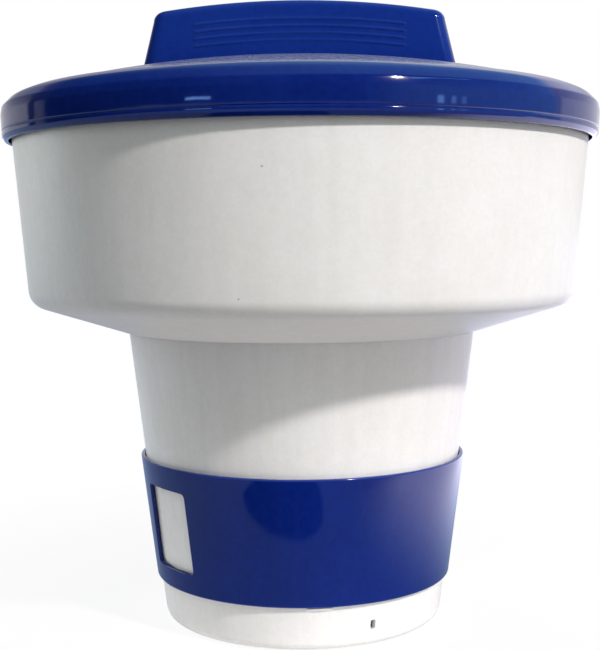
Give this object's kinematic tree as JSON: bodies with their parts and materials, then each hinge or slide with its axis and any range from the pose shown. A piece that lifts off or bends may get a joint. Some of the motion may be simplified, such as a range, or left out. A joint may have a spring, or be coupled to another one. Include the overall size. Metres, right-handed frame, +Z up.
{
  "type": "floating chlorine dispenser",
  "caption": "Floating pool chemical dispenser: broad white float bowl over a tapered tablet basket, domed twist-off blue lid with bar handle, and a turning blue flow-control ring.",
  "frame": {"origin": "centre of the flat underside the dispenser stands on", "axes": "+Z up along the axis the lid and the control ring turn about, -Y towards the front face of the bar handle, +X along the handle to the right"},
  "size_m": [0.1908, 0.1908, 0.1998],
  "materials": {
    "white_body": "warm off-white moulded plastic, semi-gloss",
    "white_inner": "off-white moulded plastic, satin",
    "lid_blue": "deep royal blue moulded plastic, glossy rim and finely grained dome",
    "ring_blue": "deep royal blue moulded plastic, glossy",
    "seal_rubber": "black rubber, matte"
  },
  "bodies": {
    "float": {"float_bowl": "white_body", "float_deck": "white_inner", "deck_gasket": "seal_rubber", "tablet_basket": "white_body", "basket_seal": "seal_rubber", "tablet_grate": "white_inner"},
    "ring": {"control_ring": "ring_blue"},
    "lid_carrier": {"lid_seal": "seal_rubber"},
    "lid": {"lid_cover": "lid_blue", "lid_liner": "white_inner"}
  },
  "joints": [
    {"name": "ring_turn", "type": "hinge", "parent": "float", "child": "ring", "pos_m": [0, 0, 0.034], "axis": [0, 0, 1], "continuous": true},
    {"name": "lid_lift", "type": "slide", "parent": "float", "child": "lid_carrier", "axis": [0, 0, 1], "range_m": [0, 0.0661]},
    {"name": "lid_turn", "type": "hinge", "parent": "lid_carrier", "child": "lid", "pos_m": [0, 0, 0.16], "axis": [0, 0, 1], "range_deg": [0, 540]}
  ],
  "couplings": [
    {"joint": "lid_lift", "follows": "lid_turn", "m_per_rad": 0.0070028}
  ]
}
